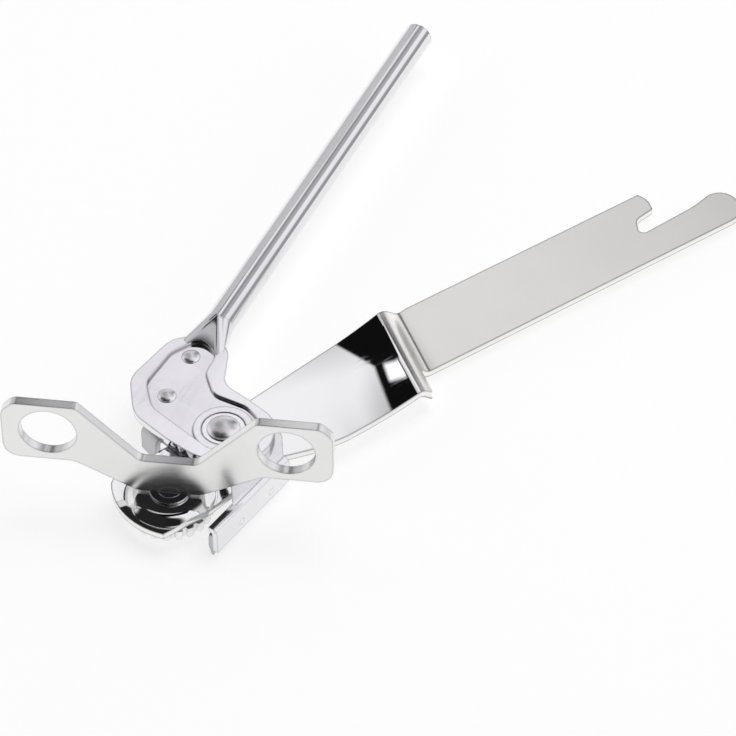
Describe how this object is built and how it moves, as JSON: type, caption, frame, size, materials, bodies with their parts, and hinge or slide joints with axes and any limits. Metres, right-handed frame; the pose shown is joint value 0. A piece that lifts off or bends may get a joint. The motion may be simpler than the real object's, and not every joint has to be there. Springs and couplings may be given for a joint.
{
  "type": "manual can opener",
  "caption": "Manual can opener with a flat lever ending in a bottle opener hook, a round tube lever, an upright wing key with finger holes, a toothed feed wheel and a cutting blade.",
  "frame": {"origin": "centre of the pivot rivet's flat lower head", "axes": "+X along the flat lever from the pivot to the hook, +Z along the pivot rivet, up to the wing key"},
  "size_m": [0.2129, 0.1345, 0.0362],
  "materials": {
    "lever_plating": "polished front, satin handle",
    "tube_plating": "polished",
    "jaw_plating": "polished",
    "blade_steel": "ground",
    "rivet_steel": "polished",
    "spindle_steel": "turned",
    "wheel_steel": "hardened",
    "key_plating": "satin"
  },
  "bodies": {
    "flat_lever_body": {"flat_lever": "lever_plating", "stop_pin": "rivet_steel", "spindle_bush": "spindle_steel", "pivot_rivet": "rivet_steel"},
    "tube_lever_body": {"tube_lever": "tube_plating", "jaw_plate": "jaw_plating", "cutting_blade": "blade_steel", "blade_rivet_front": "rivet_steel", "blade_rivet_rear": "rivet_steel", "jaw_rivet_upper": "rivet_steel", "jaw_rivet_lower": "rivet_steel", "pivot_washer": "rivet_steel"},
    "key_body": {"spindle": "spindle_steel", "feed_wheel": "wheel_steel", "wheel_washer": "spindle_steel", "key_washer": "spindle_steel", "wing_key": "key_plating"}
  },
  "joints": [
    {"name": "lever_hinge", "type": "hinge", "parent": "flat_lever_body", "child": "tube_lever_body", "pos_m": [0, 0, 0.0028], "axis": [0, 0, 1], "range_deg": [-8, 6]},
    {"name": "key_spin", "type": "hinge", "parent": "flat_lever_body", "child": "key_body", "pos_m": [-0.0214, -0.0086, 0.0028], "axis": [0, 0, 1], "continuous": true}
  ]
}
